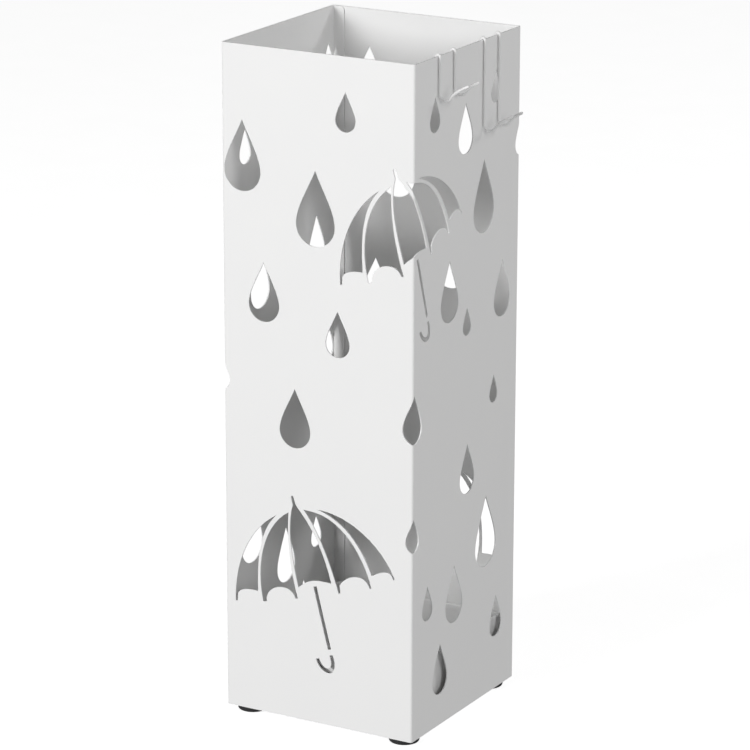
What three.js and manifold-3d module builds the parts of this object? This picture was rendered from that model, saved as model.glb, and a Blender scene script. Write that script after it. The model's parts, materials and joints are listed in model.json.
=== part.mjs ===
// Umbrella stand: one sheet of steel folded into a square column, with raindrops and
// umbrellas cut through it, a base pan on four screwed rubber feet, a drip tray that
// lifts out, and two double wire hooks hung over the rim of the right wall.
// Millimetres, +Z up. The front wall faces -Y and the right wall faces +X. The origin
// is at floor level, in the middle of the footprint that the column and hooks cover.
import * as THREE from 'three';
import { mergeVertices } from 'three/addons/utils/BufferGeometryUtils.js';
import Module from 'manifold-3d';

const wasm = await Module();
wasm.setup();

// ---- Driving dimensions ----
const WIDTH = 153; // outside of the square column
const SHEET = 1; // thickness of the column's sheet
const COLUMN_HEIGHT = 488; // the folded sheet, lower edge to rim
const FOOT_HEIGHT = 5; // floor to the sheet's lower edge
const GAP = 0.3; // between pieces that touch

const SEAM_LAP = 9; // flange of the left wall, lapped inside the back wall
const SEAM_LAP_START = 16; // the lap begins this far above the lower edge, over the pan

const PAN_HEIGHT = 13;
const PAN_SHEET = 1.2;
const PAN_FLANGE = 1; // thickness of the pan's turned-up sides

const TRAY_WIDTH = 140;
const TRAY_TOP = 55.5; // above the floor
const TRAY_SHEET = 1;
const TRAY_HEM = 5; // the rim is folded in and down by this much
const TRAY_CORNER = 4; // radius of its upright edges

const FOOT_INSET = 13.6; // screw centre to the column's outside
const FOOT_RADIUS = 11;
const FOOT_SOLE_RADIUS = 9.4; // the flat ring that stands on the floor
const FOOT_HOLE_RADIUS = 2.3;
const FOOT_RECESS_RADIUS = 5;
const FOOT_RECESS_DEPTH = 3.2;
const SCREW_RADIUS = 2;
const SCREW_HEAD_RADIUS = 3.7;
const SCREW_HEAD_HEIGHT = 1.6;
const WASHER_RADIUS = 4.5;
const WASHER_THICKNESS = 0.8;
const NUT_ACROSS_FLATS = 7;
const NUT_HEIGHT = 2.2;
const THREAD_SHOWING = 0.5; // screw end above its nut

const HOOK_WIRE = 2; // wire diameter
const HOOK_SPACING = 21.5; // between the two wires on the wall
const HOOK_REACH = 21.5; // wall to prong tip
const HOOK_RISE = 6.5; // prong tip above the start of the curl
const HOOK_CLOSING = 3.5; // how far each prong leans towards the other
const HOOK_CURL_RADIUS = 4.5;
const HOOK_INNER_LEG = 18; // how far the wire reaches down inside the wall
const HOOK_BEND_RADIUS = 4;
const HOOK_LIFT = 0.1; // extra room over the rim, for the facets of the bend
const HOOKS = [
  { name: 'hook_short', alongWall: 43.5, curlBelowRim: 26 },
  { name: 'hook_long', alongWall: 108, curlBelowRim: 59.6 },
];

const HALF = WIDTH / 2;
const RIM = FOOT_HEIGHT + COLUMN_HEIGHT;
const FRONT = 0;
const RIGHT = 1;
const BACK = 2;
const LEFT = 3;

// ---- Cut-outs ----
// Each raindrop is [distance along its wall, height of its point, width]. Distances run
// from the wall's left edge as seen from outside, heights from the sheet's lower edge.
// The holes were cut in the flat sheet, so some run on past a fold into the next wall.
const DROP_SLENDERNESS = 1.74; // a raindrop's length over its width
// The handles of the curve from its point to its round end, as parts of its width.
const DROP_POINT_HANDLE = [0.14, 0.35];
const DROP_SIDE_HANDLE = [0.5, 0.88];
const DROPS = [];
DROPS[FRONT] = [
  [16.4, 435.2, 29.3], [99, 463.2, 16], [75, 405.6, 31], [33.2, 335.3, 24.8], [92.7, 307.8, 19.1],
  [58, 246.9, 25], [154.8, 256.1, 20.6], [154.5, 166.5, 14.6], [-1.8, 261, 13],
];
DROPS[RIGHT] = [
  [28.7, 460.6, 14.4], [116, 463.6, 13.5], [72.8, 448.2, 20.9], [100.2, 402.8, 30.5],
  [51.2, 340.3, 25.4], [76.7, 301, 11.8], [129, 324.6, 24.5], [117.6, 241.6, 12], [79, 200.1, 21.3],
  [108, 153.4, 31], [61, 114.6, 24.8], [21.8, 110.8, 14.8], [124.7, 72.7, 18.5], [40.9, 61.7, 22],
  [154.8, 423.5, 16.4], [1.8, 256.1, 20.6], [1.5, 166.5, 14.6],
];
DROPS[BACK] = [
  [42, 434, 30], [122.5, 461, 16.5], [99.5, 402.4, 29], [55, 332, 24.5], [117, 304.4, 18.5],
  [13.5, 373.7, 14], [100, 240, 25], [1.8, 423.5, 16.4],
];
DROPS[LEFT] = [
  [8.5, 462, 13], [46.5, 447, 20.5], [86.5, 463.5, 13.5], [124, 421.5, 15], [76, 403, 30.5],
  [26, 338, 25], [50, 302, 12.5], [105, 330.2, 25.5], [11.8, 255.2, 18.8], [126, 226, 12],
  [88, 201, 21.3], [118.4, 147.6, 28.6], [71.1, 111.7, 25], [27.7, 107.9, 14.5], [130, 73, 18],
  [46, 63, 22], [151.2, 261, 13],
];

// An umbrella is five canopy panels with thin ribs of sheet left between them, a shaft and
// a crook. It is drawn about the hub of its canopy. Each outline is a start point and its
// edges: one point is a straight edge, three are a curve's two handles and its end.
const UMBRELLA = [
  { // outermost panel on the left
    start: [-15, -9.7],
    edges: [
      [[-30, -18.3], [-50, -40.8], [-49.6, -80]], [[-47.8, -79.8]], [[-47.6, -74.4]],
      [[-46, -69.8], [-38, -68.8], [-30.6, -69.6]], [[-31.5, -45.9], [-29, -22.4], [-15, -9.7]],
    ],
  },
  { // second panel, with a barb at each end of its hem
    start: [-5, -5.9],
    edges: [
      [[-24, -17.3], [-33.2, -45.9], [-26.4, -76.7]], [[-23.5, -76]],
      [[-25, -62.2], [-3, -58.1], [0.6, -69.9]], [[2.4, -69.1]],
      [[-3.7, -48.9], [-6.7, -28.5], [-5, -5.9]],
    ],
  },
  { // middle panel, which runs up into the finial
    start: [-2.9, 6.1],
    edges: [
      [[-1.5, 0.2]], [[-6.9, -18.3], [-2.2, -38.7], [2.8, -60.9]], [[6.3, -58]],
      [[13, -52.5], [20, -52.5], [30, -53.2]], [[24.5, -32.6], [14.5, -13.2], [2.5, -1.4]],
      [[0.7, 1.2]], [[-1.2, 6.9]], [[-2.3, 7.2]],
    ],
  },
  { // fourth panel
    start: [7.4, -1.8],
    edges: [
      [[18, -14.3], [28, -34.6], [35.9, -59.5]], [[37.6, -59]], [[36.7, -53.3]],
      [[42, -43.8], [58, -40.3], [61.1, -51.5]], [[62.7, -50.6]],
      [[54, -22.4], [36, -5.1], [17.3, -2.4]],
    ],
  },
  { // outermost panel on the right
    start: [18.3, 0],
    edges: [
      [[42, -4.5], [56, -24], [62.7, -41.7]], [[69, -37.7], [78, -33.1], [80.2, -41.6]],
      [[81.4, -40.7]], [[69, -14.3], [40, 1], [18.3, 0]],
    ],
  },
  { start: [15.2, -57.9], edges: [[[27.2, -103.4]], [[29.7, -102.6]], [[17.9, -57.3]]] },
  { // crook
    start: [28.4, -107.4],
    edges: [
      [[31, -114.7], [29.4, -117.9], [26, -117.7]], [[23.2, -117.1], [21.3, -114.8], [19.9, -111.2]],
      [[17.3, -112]], [[18.8, -116.4], [21.4, -120.1], [26, -121]],
      [[31.3, -122.1], [34.8, -117.2], [31.1, -106.9]],
    ],
  },
];
// Straight segments that stand for each curve.
const DROP_SEGMENTS = 4;
const UMBRELLA_SEGMENTS = 6;
// Where each umbrella's hub sits, its turn in degrees and its size. The upper one lies
// across the fold between the front and right walls, so both walls carry it.
const UPPER = { hub: [139.5, 407.6], turn: 2.6, size: 0.976 };
const UMBRELLAS = [
  { wall: FRONT, hub: [57.4, 160.8], turn: 0, size: 1 },
  { wall: FRONT, ...UPPER },
  { wall: RIGHT, ...UPPER, hub: [UPPER.hub[0] - WIDTH, UPPER.hub[1]] },
  { wall: BACK, hub: [57.4, 160.8], turn: 0, size: 1 },
];

// ---- Finishes ----
const PAINT = { color: 0xf1f1f0, roughness: 0.45, metalness: 0 };
const RUBBER = { color: 0x141414, roughness: 0.8, metalness: 0 };
const ZINC = { color: 0xb9bcc0, roughness: 0.35, metalness: 1 };

// ---- Solids ----
function toSolid(geometry) {
  const bare = geometry.clone();
  bare.deleteAttribute('normal');
  bare.deleteAttribute('uv');
  const merged = mergeVertices(bare, 1e-4);
  const vertProperties = new Float32Array(merged.attributes.position.array);
  const triVerts = new Uint32Array(merged.index.array);
  return new wasm.Manifold(new wasm.Mesh({ numProp: 3, vertProperties, triVerts }));
}

function toGeometry(solid) {
  const { vertProperties, triVerts } = solid.getMesh();
  const geometry = new THREE.BufferGeometry();
  geometry.setAttribute('position', new THREE.BufferAttribute(vertProperties, 3));
  geometry.setIndex(new THREE.BufferAttribute(triVerts, 1));
  geometry.computeVertexNormals();
  return geometry;
}

function boxSolid(low, high) {
  const size = high.map((value, axis) => value - low[axis]);
  const box = new THREE.BoxGeometry(...size);
  box.translate(...low.map((value, axis) => value + size[axis] / 2));
  return toSolid(box);
}

function makePiece(name, geometry, finish) {
  const piece = new THREE.Mesh(geometry, new THREE.MeshStandardMaterial(finish));
  piece.name = name;
  return piece;
}

// ---- Folded column ----
function dropShape([u, point, width]) {
  const radius = width / 2;
  const centre = point - DROP_SLENDERNESS * width + radius;
  const handle = (side, [across, down]) => [u + side * across * width, point - down * width];
  const shape = new THREE.Shape();
  shape.moveTo(u, point);
  shape.bezierCurveTo(
    ...handle(-1, DROP_POINT_HANDLE), ...handle(-1, DROP_SIDE_HANDLE), u - radius, centre,
  );
  shape.absarc(u, centre, radius, Math.PI, 2 * Math.PI, false);
  shape.bezierCurveTo(
    ...handle(1, DROP_SIDE_HANDLE), ...handle(1, DROP_POINT_HANDLE), u, point,
  );
  return shape;
}

function umbrellaShapes({ hub, turn, size }) {
  const angle = THREE.MathUtils.degToRad(turn);
  const place = ([x, y]) => new THREE.Vector2(x, y)
    .rotateAround(new THREE.Vector2(), angle)
    .multiplyScalar(size)
    .add(new THREE.Vector2(...hub))
    .toArray();
  return UMBRELLA.map(({ start, edges }) => {
    const shape = new THREE.Shape();
    shape.moveTo(...place(start));
    for (const edge of edges) {
      const points = edge.flatMap(place);
      if (edge.length === 1) shape.lineTo(...points);
      else shape.bezierCurveTo(...points);
    }
    return shape;
  });
}

// A wall's cutters stand in the plane of the wall, with their depth along its outward normal.
function wallCutter(wall, shapes, curveSegments) {
  const overcut = GAP;
  const depth = SHEET + 2 * overcut;
  const cutter = new THREE.ExtrudeGeometry(shapes, { depth, bevelEnabled: false, curveSegments });
  cutter.rotateX(Math.PI / 2);
  cutter.translate(-HALF, -HALF + SHEET + overcut, FOOT_HEIGHT);
  cutter.rotateZ((wall * Math.PI) / 2);
  return toSolid(cutter);
}

function extruded(shape, bottom, top, curveSegments) {
  const settings = { depth: top - bottom, bevelEnabled: false, curveSegments };
  const block = new THREE.ExtrudeGeometry(shape, settings);
  block.translate(0, 0, bottom);
  return block;
}

function squareShape(half) {
  return new THREE.Shape([[-half, -half], [half, -half], [half, half], [-half, half]]
    .map(([x, y]) => new THREE.Vector2(x, y)));
}

function makeColumn() {
  const inside = HALF - SHEET;
  const outline = squareShape(HALF);
  outline.holes.push(squareShape(inside));
  const walls = extruded(outline, FOOT_HEIGHT, RIM);
  const weld = SHEET / 2; // the lap is sunk this far into the walls that it is welded to
  const lap = boxSolid(
    [-inside - weld, inside - SHEET, FOOT_HEIGHT + SEAM_LAP_START],
    [-inside + SEAM_LAP, inside + weld, RIM],
  );
  let column = toSolid(walls).add(lap);
  for (const wall of [FRONT, RIGHT, BACK, LEFT]) {
    column = column.subtract(wallCutter(wall, DROPS[wall].map(dropShape), DROP_SEGMENTS));
  }
  for (const umbrella of UMBRELLAS) {
    const panels = umbrellaShapes(umbrella);
    column = column.subtract(wallCutter(umbrella.wall, panels, UMBRELLA_SEGMENTS));
  }
  return makePiece('body_shell', toGeometry(column), PAINT);
}

// ---- Base pan ----
const PAN_TOP = FOOT_HEIGHT + PAN_SHEET;
const FOOT_CENTRE = HALF - FOOT_INSET;
const FEET = [
  ['front_left', -1, -1], ['front_right', 1, -1], ['back_right', 1, 1], ['back_left', -1, 1],
].map(([place, x, y]) => ({ place, x: x * FOOT_CENTRE, y: y * FOOT_CENTRE }));

function makeBasePan() {
  const outer = HALF - SHEET - GAP;
  const inner = outer - PAN_FLANGE;
  const above = FOOT_HEIGHT + PAN_HEIGHT;
  let pan = boxSolid([-outer, -outer, FOOT_HEIGHT], [outer, outer, above]);
  pan = pan.subtract(boxSolid([-inner, -inner, PAN_TOP], [inner, inner, above + 1]));
  for (const { x, y } of FEET) {
    const reach = 2 * PAN_SHEET;
    const drill = turned([
      [0, -reach], [FOOT_HOLE_RADIUS, -reach], [FOOT_HOLE_RADIUS, reach], [0, reach],
    ]);
    drill.translate(x, y, PAN_TOP);
    pan = pan.subtract(toSolid(drill));
  }
  return makePiece('base_pan', toGeometry(pan), PAINT);
}

// ---- Feet and their fixings, stacked upwards from the floor ----
const FOOT_TOP = FOOT_HEIGHT - GAP;
const WASHER_TOP = FOOT_RECESS_DEPTH - GAP;
const SCREW_HEAD_TOP = WASHER_TOP - WASHER_THICKNESS - GAP;
const NUT_BOTTOM = PAN_TOP + GAP;
const SCREW_TOP = NUT_BOTTOM + NUT_HEIGHT + THREAD_SHOWING;
const ROUND_SEGMENTS = 16;
const FOOT_SEGMENTS = 24;

// A profile is a list of [radius, height], turned about the upright axis.
function turned(profile, segments = ROUND_SEGMENTS) {
  const points = profile.map(([radius, height]) => new THREE.Vector2(radius, height));
  const geometry = new THREE.LatheGeometry(points, segments);
  geometry.rotateX(Math.PI / 2);
  return geometry;
}

function makeFoot() {
  return turned([
    [FOOT_HOLE_RADIUS, FOOT_TOP], [FOOT_HOLE_RADIUS, FOOT_RECESS_DEPTH],
    [FOOT_RECESS_RADIUS, FOOT_RECESS_DEPTH], [FOOT_RECESS_RADIUS, 0], [FOOT_SOLE_RADIUS, 0],
    [FOOT_RADIUS - 0.5, 0.5], [FOOT_RADIUS, 1.8], [FOOT_RADIUS - 0.3, FOOT_TOP],
    [FOOT_HOLE_RADIUS, FOOT_TOP],
  ], FOOT_SEGMENTS);
}

function makeScrew() {
  const bottom = SCREW_HEAD_TOP - SCREW_HEAD_HEIGHT;
  return turned([
    [0, bottom], [SCREW_HEAD_RADIUS - 1, bottom], [SCREW_HEAD_RADIUS, bottom + 0.7],
    [SCREW_HEAD_RADIUS, SCREW_HEAD_TOP], [SCREW_RADIUS, SCREW_HEAD_TOP],
    [SCREW_RADIUS, SCREW_TOP - 0.4], [SCREW_RADIUS - 0.4, SCREW_TOP], [0, SCREW_TOP],
  ]);
}

function makeWasher() {
  const bottom = WASHER_TOP - WASHER_THICKNESS;
  return turned([
    [FOOT_HOLE_RADIUS, bottom], [WASHER_RADIUS, bottom], [WASHER_RADIUS, WASHER_TOP],
    [FOOT_HOLE_RADIUS, WASHER_TOP], [FOOT_HOLE_RADIUS, bottom],
  ]);
}

function makeNut() {
  const hexagon = new THREE.Shape();
  const corner = NUT_ACROSS_FLATS / 2 / Math.cos(Math.PI / 6);
  for (let side = 0; side < 6; side += 1) {
    const angle = (side * Math.PI) / 3;
    const point = [corner * Math.cos(angle), corner * Math.sin(angle)];
    if (side === 0) hexagon.moveTo(...point);
    else hexagon.lineTo(...point);
  }
  const bore = new THREE.Path();
  bore.absarc(0, 0, SCREW_RADIUS + GAP, 0, 2 * Math.PI, true);
  hexagon.holes.push(bore);
  return extruded(hexagon, NUT_BOTTOM, NUT_BOTTOM + NUT_HEIGHT, ROUND_SEGMENTS / 2);
}

function makeFeet() {
  const kinds = [
    ['foot', makeFoot, RUBBER], ['foot_washer', makeWasher, ZINC],
    ['foot_screw', makeScrew, ZINC], ['foot_nut', makeNut, ZINC],
  ];
  return FEET.flatMap(({ place, x, y }) => kinds.map(([kind, makeShape, finish]) => {
    const piece = makePiece(`${kind}_${place}`, makeShape(), finish);
    piece.position.set(x, y, 0);
    return piece;
  }));
}

// ---- Drip tray, which stands on the ends of the screws ----
const CORNER_SEGMENTS = 3;

function roundedSquareShape(half, radius) {
  const inset = half - radius;
  const shape = new THREE.Shape();
  shape.absarc(inset, -inset, radius, -Math.PI / 2, 0, false);
  shape.absarc(inset, inset, radius, 0, Math.PI / 2, false);
  shape.absarc(-inset, inset, radius, Math.PI / 2, Math.PI, false);
  shape.absarc(-inset, -inset, radius, Math.PI, 1.5 * Math.PI, false);
  return shape;
}

function roundedBlock(half, radius, bottom, top) {
  return toSolid(extruded(roundedSquareShape(half, radius), bottom, top, CORNER_SEGMENTS));
}

function makeTray() {
  const half = TRAY_WIDTH / 2;
  const bottom = SCREW_TOP + GAP;
  const inside = half - TRAY_SHEET;
  const hem = inside - TRAY_SHEET;
  const tray = roundedBlock(half, TRAY_CORNER, bottom, TRAY_TOP)
    .subtract(roundedBlock(inside, TRAY_CORNER - 1, bottom + TRAY_SHEET, TRAY_TOP - TRAY_HEM))
    .subtract(roundedBlock(hem, TRAY_CORNER - 2, TRAY_TOP - 2 * TRAY_HEM, TRAY_TOP + 1));
  return makePiece('drip_tray', toGeometry(tray), PAINT);
}

// ---- Hooks: one wire each, prong, wall, over the rim, across inside, and back again ----
// A curve through listed stations, with one ring of the swept wire at each of them.
class StationCurve extends THREE.Curve {
  constructor(stations) {
    super();
    this.stations = stations;
  }

  getPoint(t, target = new THREE.Vector3()) {
    const last = this.stations.length - 1;
    const index = Math.min(Math.floor(t * last + 1e-6), last - 1);
    return target.lerpVectors(this.stations[index], this.stations[index + 1], t * last - index);
  }

  getPointAt(u, target) {
    return this.getPoint(u, target);
  }

  getTangentAt(u, target = new THREE.Vector3()) {
    const last = this.stations.length - 1;
    const index = Math.round(u * last);
    const before = this.stations[Math.max(index - 1, 0)];
    const here = this.stations[index];
    const after = this.stations[Math.min(index + 1, last)];
    const arriving = here.clone().sub(before).normalize();
    const leaving = after.clone().sub(here).normalize();
    return target.copy(arriving).add(leaving).normalize();
  }
}

// Stations round an arc in the plane of the vectors right and up.
function arcStations(centre, radius, right, up, fromDegrees, toDegrees, steps) {
  return Array.from({ length: steps + 1 }, (_, step) => {
    const angle = THREE.MathUtils.degToRad(fromDegrees + ((toDegrees - fromDegrees) * step) / steps);
    return centre.clone()
      .addScaledVector(right, radius * Math.cos(angle))
      .addScaledVector(up, radius * Math.sin(angle));
  });
}

const OUTWARD = new THREE.Vector3(1, 0, 0);
const ALONG = new THREE.Vector3(0, 1, 0);
const UP = new THREE.Vector3(0, 0, 1);
const WIRE_SEGMENTS = 4;
const CURL_START = -35; // degrees round the curl where its prong leaves it
const PRONG_STEPS = 4;

// From the tip down to the curl, easing out of the curl and flattening at the tip.
function prongStations(tip, curl, y) {
  const angle = THREE.MathUtils.degToRad(CURL_START);
  const rise = new THREE.Vector3(-Math.sin(angle), 0, Math.cos(angle));
  const root = new THREE.Vector3(Math.cos(angle), 0, Math.sin(angle))
    .multiplyScalar(HOOK_CURL_RADIUS)
    .add(curl);
  const nearTip = tip.clone().add(new THREE.Vector3(-5, 0, -2.4));
  nearTip.y = y + 0.6 * HOOK_CLOSING;
  const nearRoot = root.clone().addScaledVector(rise, 5.5);
  return new THREE.CubicBezierCurve3(tip, nearTip, nearRoot, root)
    .getPoints(PRONG_STEPS)
    .slice(0, -1);
}

function makeHook({ name, alongWall, curlBelowRim }) {
  const wire = HOOK_WIRE / 2;
  const outerX = HALF + GAP + wire;
  const innerX = HALF - SHEET - GAP - wire;
  const archRadius = (outerX - innerX) / 2;
  const archZ = RIM + GAP + HOOK_LIFT + wire - archRadius;
  const curlZ = RIM - curlBelowRim;
  const y = alongWall - HALF - HOOK_SPACING / 2;
  const crossZ = RIM - HOOK_INNER_LEG + HOOK_BEND_RADIUS;
  const curl = new THREE.Vector3(outerX + HOOK_CURL_RADIUS, y, curlZ);
  const arch = new THREE.Vector3((outerX + innerX) / 2, y, archZ);
  const bend = new THREE.Vector3(innerX, y + HOOK_BEND_RADIUS, crossZ);
  const tip = new THREE.Vector3(HALF + HOOK_REACH, y + HOOK_CLOSING, curlZ + HOOK_RISE);
  const firstHalf = [
    ...prongStations(tip, curl, y),
    ...arcStations(curl, HOOK_CURL_RADIUS, OUTWARD, UP, CURL_START, -180, 7),
    ...arcStations(arch, archRadius, OUTWARD, UP, 0, 180, 8),
    ...arcStations(bend, HOOK_BEND_RADIUS, ALONG, UP, 180, 270, 4),
  ];
  const secondHalf = firstHalf
    .map((station) => new THREE.Vector3(station.x, 2 * y + HOOK_SPACING - station.y, station.z))
    .reverse();
  const stations = [...firstHalf, ...secondHalf];
  const section = new THREE.Shape();
  section.absarc(0, 0, wire, 0, 2 * Math.PI, false);
  const swept = new THREE.ExtrudeGeometry(section, {
    steps: stations.length - 1,
    curveSegments: WIRE_SEGMENTS,
    extrudePath: new StationCurve(stations),
  });
  return makePiece(name, swept, PAINT);
}

// ---- Assembly ----
const stand = new THREE.Group();
stand.add(makeColumn(), makeBasePan(), makeTray(), ...makeFeet(), ...HOOKS.map(makeHook));

// The hooks stand out to one side, so the origin is moved to the middle of the whole.
const box = new THREE.Box3().setFromObject(stand);
stand.position.x = -(box.min.x + box.max.x) / 2;

export default stand;
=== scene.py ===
# The looks of a white steel umbrella stand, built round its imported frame.
# Sizes named in millimetres are turned into metres where a mesh is made.
import json
import math

import bmesh
import bpy
import numpy as np
from mathutils import Matrix, Quaternion, Vector
from mathutils.geometry import delaunay_2d_cdt, interpolate_bezier


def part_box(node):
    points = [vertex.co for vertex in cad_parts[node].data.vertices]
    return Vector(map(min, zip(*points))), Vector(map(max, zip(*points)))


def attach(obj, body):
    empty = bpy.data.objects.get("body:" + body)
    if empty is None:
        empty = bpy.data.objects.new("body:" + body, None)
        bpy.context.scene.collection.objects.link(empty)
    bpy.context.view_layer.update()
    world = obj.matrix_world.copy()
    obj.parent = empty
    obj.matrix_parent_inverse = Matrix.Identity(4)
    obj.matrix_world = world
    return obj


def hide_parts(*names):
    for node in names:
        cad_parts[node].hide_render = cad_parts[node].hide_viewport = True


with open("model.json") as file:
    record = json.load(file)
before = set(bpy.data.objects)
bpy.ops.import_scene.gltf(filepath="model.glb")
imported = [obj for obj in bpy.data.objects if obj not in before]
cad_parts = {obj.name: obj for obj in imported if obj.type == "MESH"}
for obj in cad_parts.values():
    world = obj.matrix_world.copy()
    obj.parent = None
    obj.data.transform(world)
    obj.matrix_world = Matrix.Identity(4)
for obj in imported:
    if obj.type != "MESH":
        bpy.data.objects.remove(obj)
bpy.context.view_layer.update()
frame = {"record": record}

MM = 0.001


def box_mm(node):
    """A CAD node's lowest and highest corner, in millimetres."""
    low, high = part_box(node)
    return low / MM, high / MM


COLUMN_LOW, COLUMN_HIGH = box_mm("body_shell")
COLUMN_CENTRE = (COLUMN_LOW + COLUMN_HIGH) / 2
WIDTH = COLUMN_HIGH.x - COLUMN_LOW.x
HEIGHT = COLUMN_HIGH.z - COLUMN_LOW.z
HALF = WIDTH / 2
SHEET = 1.0
EDGE_ROUND = 0.18  # paint rounds every cut edge of sheet to about this radius

PLACES = ("front_left", "front_right", "back_right", "back_left")


# ---- Camera ----
CAMERA_AZIMUTH = math.radians(29.758)
CAMERA_ELEVATION = math.radians(16.649)
CAMERA_ROLL = 0.0021
CAMERA_DISTANCE = 2.7107
CAMERA_LENS = 182.275
SENSOR_WIDTH = 36.0
CAMERA_AIM = COLUMN_CENTRE + Vector((2.36, 0.14, -3.53))


def make_camera():
    across = math.cos(CAMERA_ELEVATION)
    back = Vector((
        math.sin(CAMERA_AZIMUTH) * across,
        -math.cos(CAMERA_AZIMUTH) * across,
        math.sin(CAMERA_ELEVATION),
    ))
    data = bpy.data.cameras.new("camera")
    data.lens = CAMERA_LENS
    data.sensor_width = SENSOR_WIDTH
    data.clip_end = 100
    camera = bpy.data.objects.new("camera", data)
    bpy.context.scene.collection.objects.link(camera)
    camera.location = CAMERA_AIM * MM + back * CAMERA_DISTANCE
    roll = Quaternion((0, 0, 1), CAMERA_ROLL)
    camera.rotation_euler = (back.to_track_quat("Z", "Y") @ roll).to_euler()
    bpy.context.scene.camera = camera


# ---- Materials ----
MIX_COLOUR_INPUTS = slice(6, 8)  # a Mix node's two colours come after its other sockets
MIX_COLOUR_OUTPUT = 2
MICROMETRE = 1e-6


class Shader:
    """A new material's node tree, with short ways to add nodes to it."""

    def __init__(self, name):
        self.material = bpy.data.materials.new(name)
        self.material.use_nodes = True
        self.tree = self.material.node_tree
        self.surface = self.tree.nodes["Principled BSDF"]
        self.place = self.add("ShaderNodeTexCoord").outputs["Object"]

    def add(self, kind, **settings):
        node = self.tree.nodes.new(kind)
        for name, value in settings.items():
            setattr(node, name, value)
        return node

    def link(self, source, target):
        self.tree.links.new(source, target)

    def noise(self, size_mm, detail=2.0, roughness=0.5, stretch=(1, 1, 1)):
        """Noise whose blobs are about size_mm across."""
        stretched = self.add("ShaderNodeMapping")
        stretched.inputs["Scale"].default_value = stretch
        self.link(self.place, stretched.inputs["Vector"])
        node = self.add("ShaderNodeTexNoise")
        node.inputs["Scale"].default_value = 1 / (size_mm * MM)
        node.inputs["Detail"].default_value = detail
        node.inputs["Roughness"].default_value = roughness
        self.link(stretched.outputs["Vector"], node.inputs["Vector"])
        return node.outputs["Fac"]

    def spread(self, value, low, high, start=0.3, end=0.7):
        """A value from start to end, spread over low to high."""
        node = self.add("ShaderNodeMapRange")
        ends = {"From Min": start, "From Max": end, "To Min": low, "To Max": high}
        for name, number in ends.items():
            node.inputs[name].default_value = number
        self.link(value, node.inputs["Value"])
        return node.outputs["Result"]

    def calculate(self, operation, first, second):
        node = self.add("ShaderNodeMath", operation=operation)
        for socket, value in zip(node.inputs, (first, second)):
            if isinstance(value, (int, float)):
                socket.default_value = value
            else:
                self.link(value, socket)
        return node.outputs["Value"]

    def mix(self, share, first, second):
        """A colour between two colours, or between another mix and a colour."""
        node = self.add("ShaderNodeMix", data_type="RGBA")
        self.link(share, node.inputs["Factor"])
        for socket, colour in zip(node.inputs[MIX_COLOUR_INPUTS], (first, second)):
            if isinstance(colour, tuple):
                socket.default_value = (*colour, 1)
            else:
                self.link(colour, socket)
        return node.outputs[MIX_COLOUR_OUTPUT]

    def relief(self, *layers):
        """Bumps laid over each other, each a height from 0 to 1 and its depth in micrometres."""
        normal = None
        for height, depth in layers:
            node = self.add("ShaderNodeBump")
            node.inputs["Distance"].default_value = depth * MICROMETRE
            self.link(height, node.inputs["Height"])
            if normal:
                self.link(normal, node.inputs["Normal"])
            normal = node.outputs["Normal"]
        self.link(normal, self.surface.inputs["Normal"])

    def finish(self, colour, roughness, metallic=0.0, **constants):
        self.link(colour, self.surface.inputs["Base Color"])
        self.link(roughness, self.surface.inputs["Roughness"])
        self.surface.inputs["Metallic"].default_value = metallic
        for name, value in constants.items():
            self.surface.inputs[name.replace("_", " ")].default_value = value
        return self.material


def make_paint():
    """Satin white powder coat: orange peel, a fine grain, the sheet's own slow waves, and
    faint clouds where hands and the oven left it a little duller. Cut edges, which carry
    the thickest paint, are glossier and let a trace of the steel's grey through."""
    shader = Shader("satin_white_powder_coat")
    edge = shader.add("ShaderNodeAttribute", attribute_name="edge").outputs["Fac"]
    clouds = shader.noise(70, detail=3)
    smudges = shader.noise(24, detail=4, roughness=0.6)
    speckle = shader.noise(0.9, detail=1)
    cream = shader.mix(shader.spread(clouds, 0, 1), (0.868, 0.868, 0.866), (0.878, 0.877, 0.872))
    grained = shader.mix(shader.spread(speckle, 0, 0.35), cream, (0.845, 0.846, 0.846))
    colour = shader.mix(shader.spread(edge, 0, 0.25, 0, 1), grained, (0.79, 0.795, 0.80))
    dulled = shader.spread(smudges, 0.36, 0.45)
    roughness = shader.calculate("SUBTRACT", dulled, shader.calculate("MULTIPLY", edge, 0.08))
    shader.relief(
        (shader.noise(90, detail=1), 220),
        (shader.noise(2.4, detail=2), 11),
        (shader.noise(0.5, detail=2), 1.6),
    )
    return shader.finish(colour, roughness)


def make_rubber():
    """Moulded black rubber: matt, finely pitted, with dust caught in the pits."""
    shader = Shader("moulded_black_rubber")
    pits = shader.noise(0.35, detail=3)
    dust = shader.noise(3, detail=5, roughness=0.7)
    dusty = shader.spread(dust, 0, 0.6, 0.5, 0.8)
    colour = shader.mix(dusty, (0.012, 0.012, 0.013), (0.05, 0.049, 0.047))
    shader.relief((pits, 14), (shader.noise(4), 30))
    return shader.finish(colour, shader.spread(dust, 0.55, 0.8))


def make_zinc():
    """Bright zinc plate: a spangled grey with fine turning marks and a trace of blue."""
    shader = Shader("bright_zinc_plate")
    spangle = shader.noise(1.4, detail=2)
    marks = shader.noise(0.25, detail=2, stretch=(1, 1, 6))
    colour = shader.mix(shader.spread(spangle, 0, 1), (0.62, 0.64, 0.67), (0.74, 0.74, 0.72))
    shader.relief((marks, 2.5), (spangle, 5))
    return shader.finish(colour, shader.spread(marks, 0.26, 0.42), metallic=1.0)


FLOOR_GLOW = 0.80


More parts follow.
